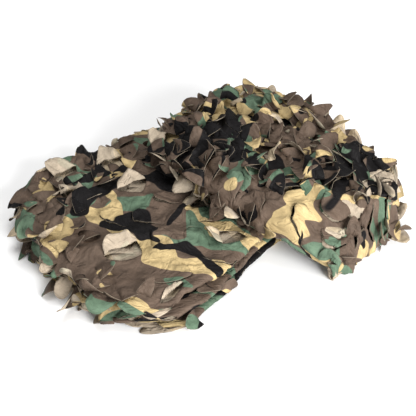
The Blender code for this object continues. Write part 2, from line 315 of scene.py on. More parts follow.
def gridLeaves(lattice, styleAt, low, high, taken, step, rng):
    # one leaf in each cell of a brick pattern that lies turned on the sheet, kept inside its cell
    cellA, cellB = lattice["cell"]
    toSheet = turned(math.radians(lattice["turned"]))
    low, high = np.array(low), np.array(high)
    centre = (low + high) / 2
    reach = np.linalg.norm(high - low) / 2
    half = np.array([cellA, cellB]) / 2 - lattice["bridge"] / 2
    leaves = []
    for row in range(-int(reach / cellB) - 1, int(reach / cellB) + 2):
        for column in range(-int(reach / cellA) - 1, int(reach / cellA) + 2):
            middle = np.array([(column + 0.5 * (row % 2)) * cellA, row * cellB])
            style = styleAt(*(centre + middle @ toSheet))
            pose = drawPose(style, rng)
            width = rng.uniform(*style["width"]) * cellA
            length = rng.uniform(*style["length"]) * cellB
            heading = math.radians(rng.choice(style["turns"]) + rng.uniform(-1, 1) * style["stray"])
            local = leafOutline(
                width, length, rng.uniform(*style["power"]), rng.uniform(*style["fullness"]),
                rng.uniform(*style["bulge"]), rng.uniform(-0.3, 0.3), step)
            local[:, 1] -= length / 2
            outline = np.clip(local @ turned(heading), -half, half)
            outline = centre + (middle + outline) @ toSheet
            inside = (outline > low + room["edge"]).all() and (outline < high - room["edge"]).all()
            clear = all(
                math.dist(outline.mean(axis=0), spot) > apart + cellA * room["flap"] for spot, apart in taken)
            if inside and clear and rng.random() < style["cut"]:
                leaves.append({"outline": outline, **pose})
    return leaves


def edgeLeaves(style, start, end, out, step, rng):
    # lobes along a free edge from start to end, that point out of the sheet
    start, end, out = np.array(start), np.array(end), np.array(out, float)
    total = np.linalg.norm(end - start)
    ahead = (end - start) / total
    leaves = []
    place = 0.0
    while place < total - lobe["narrowest"]:
        width = min(rng.uniform(*style["edgeWidth"]), total - place)
        if total - place - width < lobe["narrowest"]:
            width = total - place
        length = rng.uniform(*style["edgeLength"])
        local = leafOutline(
            width - lobe["gap"], length, rng.uniform(*style["power"]), rng.uniform(*style["fullness"]),
            rng.uniform(*lobe["bulge"]), rng.uniform(*lobe["lean"]), step)
        middle = start + ahead * (place + width / 2)
        outline = middle + local[:, :1] * ahead + local[:, 1:] * out
        pose = drawPose({**style, "poses": style["edgePoses"]}, rng)
        leaves.append({"outline": outline, "edge": True, **pose})
        place += width
    return leaves


def flap(start, end, length, lift, curl, power=2.0, cup=0.0, twist=0, fullness=0.6):
    # a given leaf: its hinge runs from start to end, and it is cut to the hinge's left
    return {
        "start": start, "end": end, "length": length, "lift": lift, "curl": curl, "power": power, "cup": cup,
        "twist": twist, "fullness": fullness,
    }


def placedFlap(flap, step):
    start, end = (np.array(flap[name]) + (topLayer, 0) for name in ("start", "end"))
    width = np.linalg.norm(end - start)
    ahead = (end - start) / width
    out = np.array([-ahead[1], ahead[0]])
    local = leafOutline(
        width, flap["length"], flap["power"], flap["fullness"], 0.0, 0.0, step * meshing["flapOutline"])
    outline = (start + end) / 2 + local[:, :1] * ahead + local[:, 1:] * out
    middle = outline.mean(axis=0)
    spots = [middle]
    if flap["lift"] > 90:  # folded back, it needs room on the hinge's other side too
        spots.append(middle - 2 * out * ((middle - start) @ out))
    return {
        "outline": outline, "spots": spots, "reach": np.linalg.norm(outline - middle, axis=1).max(),
        "cup": flap["cup"], "crease": 0.4, "creased": False,
        **{name: math.radians(flap[name]) for name in ("lift", "curl", "twist")},
    }


def meshPanel(low, high, leaves, step, fine):
    # triangles of a rectangle of cloth with its leaves cut: points, faces, and each point's leaf
    points, polygons, cutOf = [], [], {}
    sides = []
    corners = [(low[0], low[1]), (high[0], low[1]), (high[0], high[1]), (low[0], high[1])]
    for start, end in zip(corners, corners[1:] + corners[:1]):
        count = max(2, int(math.dist(start, end) / (step * meshing["side"])))
        sides += [
            (start[0] + (end[0] - start[0]) * k / count, start[1] + (end[1] - start[1]) * k / count)
            for k in range(count)
        ]
    polygons.append(list(range(len(sides))))
    points += sides
    for number, leaf in enumerate(leaves):
        outline = leaf["outline"]
        first = len(points)
        for k, point in enumerate(outline):
            if 0 < k < len(outline) - 1:
                cutOf[len(points)] = number
            points.append(tuple(point))
        hinge = outline[0] - outline[-1]
        count = max(2, int(np.linalg.norm(hinge) / (step * meshing["hinge"])))
        points += [tuple(outline[-1] + hinge * k / count) for k in range(1, count)]
        polygon = list(range(first, len(points)))
        x, y = np.array(points[first:]).T
        turning = (x * np.roll(y, -1) - y * np.roll(x, -1)).sum()
        polygons.append(polygon if turning > 0 else polygon[::-1])  # the faces are read counterclockwise
    tree = KDTree(len(points))
    for number, point in enumerate(points):
        tree.insert((point[0], point[1], 0), number)
    tree.balance()
    draw = random.Random(7)
    stray, apart, coarse = meshing["stray"], meshing["apart"] * step, meshing["coarse"]
    for i in range(1, int((high[0] - low[0]) / step)):
        for j in range(1, int((high[1] - low[1]) / (step * meshing["row"]))):
            a = low[0] + (i + 0.5 * (j % 2)) * step + draw.uniform(-stray, stray) * step
            b = low[1] + j * step * meshing["row"] + draw.uniform(-stray, stray) * step
            if a > high[0] - apart or b > high[1] - apart:
                continue
            if not fine(a, b) and (i % coarse or j % coarse):
                continue
            if tree.find((a, b, 0))[2] > apart:
                points.append((a, b))
    for leaf in leaves:  # lobes lie outside the rectangle, so they get points of their own
        if leaf.get("edge"):
            middle = leaf["outline"].mean(axis=0)
            points += [tuple(blend(middle, point, 0.5)) for point in leaf["outline"][1:-1:2]]
    flat, _, faces, sources, _, _ = delaunay_2d_cdt(
        [Vector(point) for point in points], [], polygons, 1, 1e-7, True)
    places = np.array([tuple(point) for point in flat])
    faces = np.array(faces)
    middles = places[faces].mean(axis=1)
    leafOfFace = np.full(len(faces), -1)
    for number, leaf in enumerate(leaves):
        leafOfFace[insideOutline(middles, leaf["outline"])] = number
    onSheet = ((middles > low) & (middles < high)).all(axis=1) | (leafOfFace >= 0)
    faces, leafOfFace = faces[onSheet].tolist(), leafOfFace[onSheet].tolist()

    places = places.tolist()
    leafOf = [-1] * len(places)
    cut = {}
    for vertex, found in enumerate(sources):
        for source in found:
            if source in cutOf:
                cut[vertex] = cutOf[source]
    copies = {}
    result = []
    for face, leaf in zip(faces, leafOfFace):
        corner = []
        for vertex in face:
            if leaf >= 0 and cut.get(vertex) == leaf:
                if vertex not in copies:
                    copies[vertex] = len(places)
                    places.append(places[vertex])
                    leafOf.append(leaf)
                vertex = copies[vertex]
            elif leaf >= 0:
                leafOf[vertex] = leaf
            corner.append(vertex)
        result.append(corner[::-1])
    return np.array(places), np.array(result), np.array(leafOf)


def insideOutline(points, outline):
    # even and odd crossings of a ray from each point
    inside = np.zeros(len(points), bool)
    near = ((points > outline.min(axis=0)) & (points < outline.max(axis=0))).all(axis=1)
    x, y = points[near].T
    odd = np.zeros(near.sum(), bool)
    for start, end in zip(outline, np.roll(outline, -1, axis=0)):
        if start[1] == end[1]:
            continue
        crosses = (start[1] > y) != (end[1] > y)
        odd ^= crosses & (x < start[0] + (y - start[1]) * (end[0] - start[0]) / (end[1] - start[1]))
    inside[near] = odd
    return inside


def poseLeaf(leaf, axis, foot, ahead, normal, u, v, length):
    # bends a leaf up about its hinge's axis; ahead is each point's way from its foot on the hinge
    steps = np.linspace(0, 1, bending["steps"] + 1)
    bend = ease((steps - leaf["crease"]) / bending["crease"]) if leaf["creased"] else steps
    slope = leaf["lift"] * ease(steps / bending["hinge"] + bending["start"]) + leaf["curl"] * bend
    run, rise = (
        np.concatenate([[0], np.cumsum(wave((slope[1:] + slope[:-1]) / 2))]) / bending["steps"]
        for wave in (np.cos, np.sin))
    share = np.clip(v / length, 0, 1)
    x, z = np.interp(share, steps, run) * length, np.interp(share, steps, rise) * length
    turn = leaf["twist"] * u * share
    angle = np.interp(share, steps, slope) + turn
    x, z = x * np.cos(turn) - z * np.sin(turn), x * np.sin(turn) + z * np.cos(turn)
    cup = leaf["cup"] * (u * u - bending["cupLevel"]) * length * ease(share / bending["cupFrom"])
    x, z = x - np.sin(angle) * cup, z + np.cos(angle) * cup

    beside = (ahead @ axis)[:, None] * axis
    out = ahead - beside
    size = np.linalg.norm(out, axis=1, keepdims=True)
    out = out / np.maximum(size, 1e-9)
    up = normal - (out @ normal)[:, None] * out - (normal @ axis) * axis
    up = up / np.maximum(np.linalg.norm(up, axis=1, keepdims=True), 1e-9)
    stretch = size[:, 0] / np.maximum(v, 1e-6)
    return foot + beside + (x * stretch)[:, None] * out + (z * stretch)[:, None] * up


recess = {"uneven": 0.010, "ragged": 0.012, "corner": 0.014, "least": -0.018, "top": 0.004, "fades": 0.07}


def nearRecess(a):
    # how far the strip's near end lies back, unevenly from layer to layer and more towards its back corner
    p = acrossPlace(a, np.full_like(a, fold["nearEnd"]))[0]
    uneven = recess["least"] + recess["uneven"] * (1 + np.sin(16 * a + 0.8)) / 2
    uneven = uneven + recess["ragged"] * (2 + np.sin(71 * a + 2.0) + np.sin(153 * a)) / 4
    uneven = uneven - recess["top"] * ease((a - (fold["layers"] - 1) * stepAcross) / 0.02 + 1)
    return uneven + recess["corner"] * np.clip((0.02 - p) / 0.12, -0.8, 1.0)


def layPanel(panel):
    # one rectangle of the sheet, laid in the pile: vertices, faces, flat places and each point's leaf
    rng = random.Random(panel["seed"])
    table = lengthTable(panel["layer"])
    bLow, bHigh = np.interp(panel["strip"], table[0], table[1])
    low, high = (panel["across"][0], bLow), (panel["across"][1], bHigh)
    step = panel["step"]
    flaps = [placedFlap(flap, step) for flap in panel["flaps"]]
    taken = [(spot, flap["reach"]) for flap in flaps for spot in flap["spots"]]
    leaves = []
    if panel["styleAt"]:
        leaves += gridLeaves(
            panel["dieCut"], panel["styleAt"], low, high, taken, step * meshing["outline"], rng)
    leaves += flaps
    free, style = panel["edges"], panel["edgeStyle"]
    if "near" in free:
        for start, end in layerRuns(low[0], high[0]):
            leaves += edgeLeaves(style, (end, low[1]), (start, low[1]), (0, -1), step, rng)
    if "far" in free:
        for start, end in layerRuns(max(panel["farLobesFrom"], low[0]), high[0]):
            leaves += edgeLeaves(style, (start, high[1]), (end, high[1]), (0, 1), step, rng)
    if "last" in free:
        leaves += edgeLeaves(sideEdge, (high[0], low[1]), (high[0], high[1]), (1, 0), step, rng)
    if "first" in free:
        leaves += edgeLeaves(sideEdge, (low[0], high[1]), (low[0], low[1]), (-1, 0), step, rng)

    places, faces, leafOf = meshPanel(low, high, leaves, step, panel["fine"])
    used = np.unique(faces)
    renumber = np.zeros(len(places), int)
    renumber[used] = np.arange(len(used))
    places, faces, leafOf = places[used], renumber[faces], leafOf[used]

    def fromSeams(a, b):
        # 0 where this panel meets the next one, 1 further inside it and at the sheet's own edges
        seams = {"first": a - low[0], "last": high[0] - a, "near": b - low[1], "far": high[1] - b}
        fade = np.ones_like(a)
        for edge, distance in seams.items():
            if edge not in free:
                fade = fade * ease(distance / laying["seam"])
        return fade

    def onSheet(a, b):
        drift = panel["drift"] * fromSeams(a, b)
        driftA = drift * creases(a, b, laying["drifts"], panel["seed"] * 10 + 7)
        driftB = drift * creases(a, b, laying["drifts"], panel["seed"] * 10 + 8)
        driftB = driftB + nearRecess(a) * (1 - ease(b / recess["fades"]))
        return panel["way"](a + driftA, alongToStrip(table, b + driftB))

    def normals(a, b):
        tiny = laying["tiny"]
        alongA = onSheet(a + tiny, b) - onSheet(a - tiny, b)
        alongB = onSheet(a, b + tiny) - onSheet(a, b - tiny)
        normal = np.cross(alongB, alongA)
        return normal / np.maximum(np.linalg.norm(normal, axis=1, keepdims=True), 1e-12)

    def relief(a, b):
        total = np.full_like(a, panel["inset"])
        for number, (height, size) in enumerate(panel["relief"]):
            total += height * creases(a, b, size, panel["seed"] * 10 + number)
        return total * fromSeams(a, b)

    def creased(a, b):
        return onSheet(a, b) + relief(a, b)[:, None] * normals(a, b)

    points = creased(places[:, 0], places[:, 1])
    for number, leaf in enumerate(leaves):
        mine = np.nonzero(leafOf == number)[0]
        if not len(mine):
            continue
        start, end = leaf["outline"][0], leaf["outline"][-1]
        ahead = (end - start) / np.linalg.norm(end - start)
        out = np.array([-ahead[1], ahead[0]])
        if (leaf["outline"].mean(axis=0) - start) @ out < 0:
            out = -out
        local = places[mine] - start
        v = local @ out
        foot = start + (local @ ahead)[:, None] * ahead
        width = np.linalg.norm(end - start)
        u = (local @ ahead) / width * 2 - 1
        hinge = creased(np.array([start[0], end[0]]), np.array([start[1], end[1]]))
        middle = (start + end) / 2
        axis = (hinge[1] - hinge[0]) / np.linalg.norm(hinge[1] - hinge[0])
        normal = normals(np.array([middle[0]]), np.array([middle[1]]))[0] * panel["out"]
        feet = creased(foot[:, 0], foot[:, 1])
        length = max(((leaf["outline"] - start) @ out).max(), 1e-4)
        u, above = np.clip(u, -1.4, 1.4), np.maximum(v, 0)
        moved = poseLeaf(leaf, axis, feet, points[mine] - feet, normal, u, above, length)
        standing = v > 1e-6
        points[mine[standing]] = moved[standing]
    ripple = laying["ripple"] * (np.sin(points[:, 0] * 300) + 1)
    points[:, 2] = np.maximum(points[:, 2], laying["lowest"] + ripple)
    return points, faces, places, leafOf


def layerRuns(low, high):
    # the flat runs of the layers between two places across the sheet
    runs = []
    for layer in range(fold["layers"]):
        start = max(low, layer * stepAcross)
        end = min(high, layer * stepAcross + layerWidth)
        if end - start > 0.02:
            runs.append((start, end))
    return runs


# the printed cloth
printed = {
    "brown": (0.072, 0.048, 0.035), "lightBrown": (0.105, 0.076, 0.056),
    "green": (0.058, 0.098, 0.060), "paleGreen": (0.100, 0.145, 0.100),
    "sand": (0.385, 0.290, 0.145),
    "black": (0.0016, 0.0013, 0.0012), "wornBlack": (0.0085, 0.0075, 0.0080),
    "reverse": (0.440, 0.365, 0.275), "rim": (0.180, 0.150, 0.112),
    "washed": 0.72,  # how far the reverse is washed out
    "toneScale": 14.0, "border": 0.004,  # the half width of a blob's edge, in noise
    "roughness": 0.62, "specular": 0.10, "sheen": 0.015, "sheenRoughness": 0.4,
}
blobs = [  # from the lowest print to the topmost
    {"inks": ("green", "paleGreen"), "scale": 11.5, "offset": (4.845, 11.648, 0), "level": 0.587,
     "stretch": (1.0, 1.3, 1), "detail": 0.8, "distortion": 0.5},
    {"inks": ("sand", "sand"), "scale": 15.0, "offset": (10.253, 11.108, 0), "level": 0.605,
     "stretch": (1.0, 1.4, 1), "detail": 0.6, "distortion": 0.3},
    {"inks": ("black", "wornBlack"), "scale": 11.0, "offset": (9.18, 14.769, 0), "level": 0.602,
     "stretch": (1.3, 0.95, 1), "detail": 1.4, "distortion": 0.8},
]
weave = {"threads": 1900.0, "threadDepth": 0.0002, "wrinkles": 60.0, "wrinkleDepth": 0.0065}
# partly wear and partly painted sheen and shade: a noise darkens and lightens the print's colour, from
# darkest to palest
wearAndSheen = {"scale": 48.0, "from": 0.32, "to": 0.70, "darkest": 0.72, "palest": 1.30}


def newGroup(name, inputs, outputs, kind="ShaderNodeTree"):
    # inputs and outputs are (name, kind of socket), and an input may have a value
    group = bpy.data.node_groups.new(name, kind)
    for way, sockets in (("INPUT", inputs), ("OUTPUT", outputs)):
        for label, socketKind, *value in sockets:
            socket = group.interface.new_socket(label, in_out=way, socket_type="NodeSocket" + socketKind)
            if value:
                socket.default_value = value[0]
    return group, group.nodes.new("NodeGroupInput"), group.nodes.new("NodeGroupOutput")


def addNode(tree, kind, inputs=(), **settings):
    node = tree.nodes.new(kind)
    for name, value in settings.items():
        setattr(node, name, value)
    for key, value in dict(inputs).items():
        if isinstance(value, bpy.types.NodeSocket):
            tree.links.new(value, node.inputs[key])
        else:
            node.inputs[key].default_value = value
    return node


def addMath(tree, operation, first, second=0.0):
    return addNode(tree, "ShaderNodeMath", {0: first, 1: second}, operation=operation).outputs[0]


def blobMask(tree, place, blob):
    # 1 inside the blobs of a noise pattern, 0 outside, with a sharp printed border
    moved = addNode(tree, "ShaderNodeMapping", {0: place, 1: blob["offset"], 3: blob["stretch"]})
    noise = addNode(tree, "ShaderNodeTexNoise", {
        "Vector": moved.outputs[0], "Scale": blob["scale"], "Detail": blob["detail"], "Roughness": 0.45,
        "Distortion": blob["distortion"],
    }, noise_dimensions="2D")
    low, high = blob["level"] - printed["border"], blob["level"] + printed["border"]
    return addNode(tree, "ShaderNodeMapRange", {0: noise.outputs[0], 1: low, 2: high}).outputs[0]


def mixColour(tree, share, first, second):
    return addNode(tree, "ShaderNodeMix", {0: share, 6: first, 7: second}, data_type="RGBA").outputs[2]


def makePrint():
    group, given, result = newGroup("woodlandPrint", [("Place", "Vector")], [("Color", "Color")])
    place = given.outputs["Place"]
    tone = addNode(group, "ShaderNodeTexNoise", {"Vector": place, "Scale": printed["toneScale"]}).outputs[0]

    def toned(inks):
        return mixColour(group, tone, (*printed[inks[0]], 1.0), (*printed[inks[1]], 1.0))

    base = toned(("brown", "lightBrown"))
    for blob in blobs:
        base = mixColour(group, blobMask(group, place, blob), base, toned(blob["inks"]))
    group.links.new(base, result.inputs["Color"])
    return group


def makeWeave():
    group, given, result = newGroup("clothWeave", [
        ("Place", "Vector"), ("Threads", "Float", weave["threads"]), ("Wrinkle", "Float", weave["wrinkles"]),
    ], [("Height", "Float"), ("Wrinkles", "Float"), ("Wear", "Float")])
    place = given.outputs["Place"]
    parts = addNode(group, "ShaderNodeSeparateXYZ", {0: place})
    waves = [
        addMath(group, "SINE", addMath(group, "MULTIPLY", parts.outputs[axis], given.outputs["Threads"]))
        for axis in (0, 1)
    ]
    noise = addNode(group, "ShaderNodeTexNoise", {
        "Vector": place, "Scale": given.outputs["Wrinkle"], "Detail": 2.6, "Distortion": 0.9,
    })
    # a noise for the wear and the painted sheen and shade that the material scales the print's colour by
    wornAndSheen = addNode(group, "ShaderNodeTexNoise", {
        "Vector": place, "Scale": wearAndSheen["scale"], "Detail": 5.0, "Roughness": 0.68,
    })
    for name, socket in {
        "Height": addMath(group, "MULTIPLY", *waves),
        "Wrinkles": addMath(group, "ABSOLUTE", addMath(group, "SUBTRACT", noise.outputs[0], 0.5)),
        "Wear": wornAndSheen.outputs[0],
    }.items():
        group.links.new(socket, result.inputs[name])
    return group


printGroup = makePrint()
weaveGroup = makeWeave()


def clothMaterial(name, paleness):
    # the same print on every side, washed out towards the cloth's own colour by paleness
    material = bpy.data.materials.new(name)
    material.use_nodes = True
    tree = material.node_tree
    shader = tree.nodes["Principled BSDF"]
    place = addNode(tree, "ShaderNodeUVMap", uv_map="flatCloth").outputs[0]
    colour = addNode(tree, "ShaderNodeGroup", node_tree=printGroup)
    cloth = addNode(tree, "ShaderNodeGroup", node_tree=weaveGroup)
    for node in (colour, cloth):
        tree.links.new(place, node.inputs["Place"])
    pale = (*printed["reverse" if paleness < 1 else "rim"], 1.0)
    # the print darkened and lightened by a noise: partly wear, partly painted sheen and shade
    wornAndSheen = addNode(tree, "ShaderNodeMapRange", {
        0: cloth.outputs["Wear"], 1: wearAndSheen["from"], 2: wearAndSheen["to"], 3: wearAndSheen["darkest"], 4: wearAndSheen["palest"],
    })
    shaded = addNode(tree, "ShaderNodeVectorMath", {
        0: mixColour(tree, paleness, colour.outputs["Color"], pale), 3: wornAndSheen.outputs[0],
    }, operation="SCALE")
    tree.links.new(shaded.outputs[0], shader.inputs["Base Color"])
    wrinkle = addNode(tree, "ShaderNodeBump", {
        "Strength": 0.9, "Distance": weave["wrinkleDepth"], "Height": cloth.outputs["Wrinkles"],
    })
    threads = addNode(tree, "ShaderNodeBump", {
        "Strength": 0.25, "Distance": weave["threadDepth"], "Height": cloth.outputs["Height"],
        "Normal": wrinkle.outputs[0],
    })
    tree.links.new(threads.outputs[0], shader.inputs["Normal"])
    for label, name in (
        ("Roughness", "roughness"), ("Specular IOR Level", "specular"), ("Sheen Weight", "sheen"),
        ("Sheen Roughness", "sheenRoughness"),
    ):
        shader.inputs[label].default_value = printed[name]
    return material


clothMaterials = [
    clothMaterial("printed_face", 0.0), clothMaterial("washed_reverse", printed["washed"]),
    clothMaterial("cut_edge", 1.0),
]
print("materials made")

# the panels of the sheet, and how their leaves are cut
dieCut = {"cell": (0.046, 0.042), "turned": -45, "bridge": 0.005}
closeCut = {"cell": (0.040, 0.036), "turned": -45, "bridge": 0.003}


def posed(share, lift, curl, twist):
    # one way for leaves to stand: how many of them do, and the angles between which each is drawn
    return {"share": share, "lift": lift, "curl": curl, "twist": twist}


flatPose = posed(0.60, (4, 14), (-11, 4), 6)
raisedPose = posed(0.28, (7, 26), (-20, 14), 14)
openPose = posed(0.08, (28, 70), (-40, 40), 25)
backPose = posed(0.04, (110, 150), (10, 40), 12)

smoothLeaves = {
    "width": (0.60, 0.80), "length": (0.70, 0.90), "power": (1.6, 2.4), "bulge": (0.0, 0.2),
    "fullness": (0.55, 0.95), "turns": (0, 90, 180, 270), "stray": 28, "cut": 0.9, "cup": 0.05,
    "creased": 0.2, "poses": [flatPose, raisedPose, openPose, backPose],
}
openLeaves = {
    **smoothLeaves, "width": (0.62, 0.88), "length": (0.80, 1.0), "power": (1.5, 2.6),
    "bulge": (0.0, 0.3), "turns": (0, 0, 0, 90, 270, 180),
    "stray": 35, "cut": 1.0, "cup": 0.20, "creased": 0.4, "poses": [
        posed(0.42, (8, 35), (-30, 20), 22),
        posed(0.40, (35, 80), (-90, 20), 32),
        posed(0.18, (95, 155), (-40, 40), 30),
    ],
}
raggedLeaves = {
    **smoothLeaves, "width": (0.66, 0.92), "length": (0.80, 1.0), "power": (1.4, 2.4), "cut": 1.0,
    "stray": 24, "turns": (0, 0, 90, 270, 180), "cup": 0.12, "creased": 0.3, "poses": [
        posed(0.42, (5, 24), (-20, 12), 14),
        posed(0.30, (22, 55), (-50, 15), 22),
        posed(0.18, (125, 165), (0, 25), 10),
        posed(0.10, (55, 95), (-40, 30), 25),
    ],
}
turnLeaves = {
    **smoothLeaves, "poses": [
        posed(0.34, (2, 12), (-10, 6), 8),
        posed(0.42, (12, 45), (-40, 15), 22),
        posed(0.24, (45, 110), (-50, 30), 30),
    ],
}
innerLeaves = {**openLeaves, "cup": 0.03, "poses": [posed(1.0, (0, 5), (-6, 4), 3)]}
edgeSizes = {
    "edgeWidth": (0.020, 0.042), "edgeLength": (0.014, 0.038), "power": (1.3, 2.4), "edgePoses": [
        posed(0.50, (-42, 4), (-60, 20), 26),
        posed(0.30, (0, 36), (-90, 30), 36),
        posed(0.20, (-20, 15), (120, 260), 15),
    ],
}
topEdge = {**smoothLeaves, **edgeSizes}
nearEdge = {
    **topEdge, "edgeWidth": (0.018, 0.038), "edgeLength": (0.015, 0.044), "power": (1.2, 2.3), "edgePoses": [
        posed(0.55, (-50, -4), (-80, 25), 35),
        posed(0.25, (8, 50), (-110, 0), 40),
        posed(0.20, (-25, 20), (-290, -130), 20),
    ],
}
farEdge = {
    **topEdge, "edgeLength": (0.010, 0.026), "edgePoses": [
        posed(0.7, (-70, -25), (-40, 20), 20),
        posed(0.3, (-40, -5), (-90, 60), 30),
    ],
}
innerEdge = {
    **topEdge, "edgeLength": (0.008, 0.020), "edgePoses": [
        posed(1.0, (-20, 30), (-40, 40), 20),
    ],
}
sideEdge = {
    **topEdge, "edgeLength": (0.008, 0.022), "power": (2.0, 3.0), "edgePoses": [
        posed(0.8, (-55, -15), (-60, 10), 15),
        posed(0.2, (-20, 10), (60, 160), 15),
    ],
}

topLayer = (fold["layers"] - 1) * stepAcross
topStart = topLayer - bendLength - 0.030
padEnd, bundleStart = 0.250, nearTurnStart - 0.010  # seams, which lie under the bundle or in the turns
farTurnBand = (farTurnStart - 0.015, insideStart + 0.018)
farTurnAcross = layerWidth + bendLength + 0.020
aboutBends = {
    "fine": 0.022, "open": 0.003, "from": 0.1,  # how near a bend is, and from what place across leaves stand
    "few": 0.35, "fewTo": padEnd - 0.02,  # the share of leaves on the front side, and how far along
}


def everywhere(value):
    return lambda a, b: value


def nearBends(a, b):
    local = a % stepAcross
    return local > layerWidth - aboutBends["fine"] or local < aboutBends["fine"]


ragged = {
    "end": 0.020, "slant": 0.9, "slantFrom": 0.13, "endFade": 0.014, "corner": 0.235, "cornerFade": 0.020,
}
crowding = {  # on the bundle: where a change begins, past its roll's start or end, and how soon it comes
    "frontEnd": (0.09, 0.05), "front": 0.030, "back": -0.004, "from": 0.02, "curtain": (0.085, 0.03),
    "crest": (0.165, 0.02), "few": 0.20, "fewFrom": (0.015, 0.01), "fewOn": -0.040, "underStyle": 0.17,
}


def padRagged(a, b):
    # 1 towards the pad's near end and its back corner, where the leaves stand out, and 0 on its smooth middle
    place = a - topLayer
    end = ragged["end"] + ragged["slant"] * np.maximum(place - ragged["slantFrom"], 0)
    nearEnd = ease((end - b) / ragged["endFade"] + 0.5)
    return np.maximum(nearEnd, ease((place - ragged["corner"]) / ragged["cornerFade"] + 0.5))


def padStyle(a, b):
    return raggedLeaves if padRagged(a, b) > 0.5 else smoothLeaves


def bundleOpenness(a, b):
    # 1 where the bundle's leaves crowd, and 0 on the front of the roll and on the smooth front end
    place = a - topLayer

    def reached(x, name):
        start, width = crowding[name]
        return ease((x - start) / width)

    smooth = 1 - reached(place, "frontEnd")
    start = blend(rollStart + crowding["back"], rollEnd + crowding["front"], smooth)
    crowded = np.where(place > 0.004, ease((b - start) / crowding["from"]), reached(b - rollEnd, "curtain"))
    crowded = crowded * (1 - smooth * reached(b - rollEnd, "crest"))
    few = crowding["few"] * reached(b - rollStart, "fewFrom") * (place > crowding["fewOn"])
    return np.maximum(crowded, few)


def padOpenness(a, b):
    return 0.8 * padRagged(a, b)


def insideOutBend(a, b):
    # true about the turned edges on the back side, where the sheet's reverse lies outermost
    return np.round((a - layerWidth - bendLength / 2) / stepAcross) % 2 == 1


def bendOpenness(a, b):
    # the turned edges: leaves crowd on the back side, and a few stand out on the pad's front side
    local = a % stepAcross
    onBend = (local > layerWidth - aboutBends["open"]) | (local < aboutBends["open"])
    onFront = aboutBends["few"] * (b < aboutBends["fewTo"])
    return onBend * (a > aboutBends["from"]) * np.where(insideOutBend(a, b), 1.0, onFront)


def bundleStyle(a, b):
    # the roll is smooth at its front, and the leaves open towards its back end and over the crown
    onFront = b < rollEnd and a < topLayer + 0.38 * layerWidth
    return turnLeaves if a < topLayer or onFront else openLeaves


def underStyle(a, b):
    # calm under the crown's top layer, but for its far end, which shows
    return openLeaves if b > rollEnd + crowding["underStyle"] else innerLeaves


rollStart, rollEnd = np.interp((nearTurnStart, crownStart), *lengthTable(5))

padFlaps = [  # half rounds on the pad, most of them folded back; places are (across the top layer, along it)
    flap((0.114, 0.039), (0.112, 0.085), 0.025, 155, 10, fullness=0.5),
    flap((0.300, 0.066), (0.300, 0.112), 0.030, 152, 14, cup=0.1),
    flap((0.286, 0.148), (0.282, 0.190), 0.028, 155, 10, twist=5),
    flap((0.214, 0.138), (0.208, 0.182), 0.026, 156, 15, power=1.6),
    flap((0.252, 0.062), (0.246, 0.108), 0.026, 148, 20, power=1.7),
    flap((0.205, 0.100), (0.228, 0.056), 0.026, 38, -25, power=1.5),
    flap((0.052, 0.040), (0.040, 0.086), 0.032, 3, 2, power=2.4),
    flap((0.030, 0.110), (0.026, 0.152), 0.034, 6, -4, power=2.2),
    flap((0.010, 0.010), (0.012, 0.050), 0.008, 150, 20, power=2.0),
]

bundleFlaps = [  # on the bundle's front end: the first two hang out at its foot, the others lie on the roll
    flap((-0.038, 0.616), (-0.038, 0.572), 0.034, 36, -20, power=1.5, cup=0.2),
    flap((-0.040, 0.714), (-0.040, 0.672), 0.030, 34, -30, power=1.8),
    flap((0.060, 0.596), (0.022, 0.590), 0.036, 8, 10, power=2.3),
    flap((0.024, 0.660), (-0.020, 0.664), 0.040, 20, 4, power=2.3, cup=0.1),
    flap((0.050, 0.668), (0.026, 0.615), 0.021, 24, -14, power=2.2),
    flap((0.088, 0.622), (0.124, 0.622), 0.030, 18, -25, power=1.4),
    flap((0.130, 0.618), (0.162, 0.622), 0.030, 30, -30, power=1.5),
    flap((-0.012, 0.745), (-0.056, 0.745), 0.030, 20, -14, power=2.2),
    flap((-0.010, 0.800), (-0.050, 0.800), 0.028, 16, -10, power=2.0),
    flap((0.114, 0.692), (0.076, 0.690), 0.028, 24, -16, power=2.2),
    flap((0.048, 0.704), (0.012, 0.706), 0.030, 22, -14, power=2.1),
]

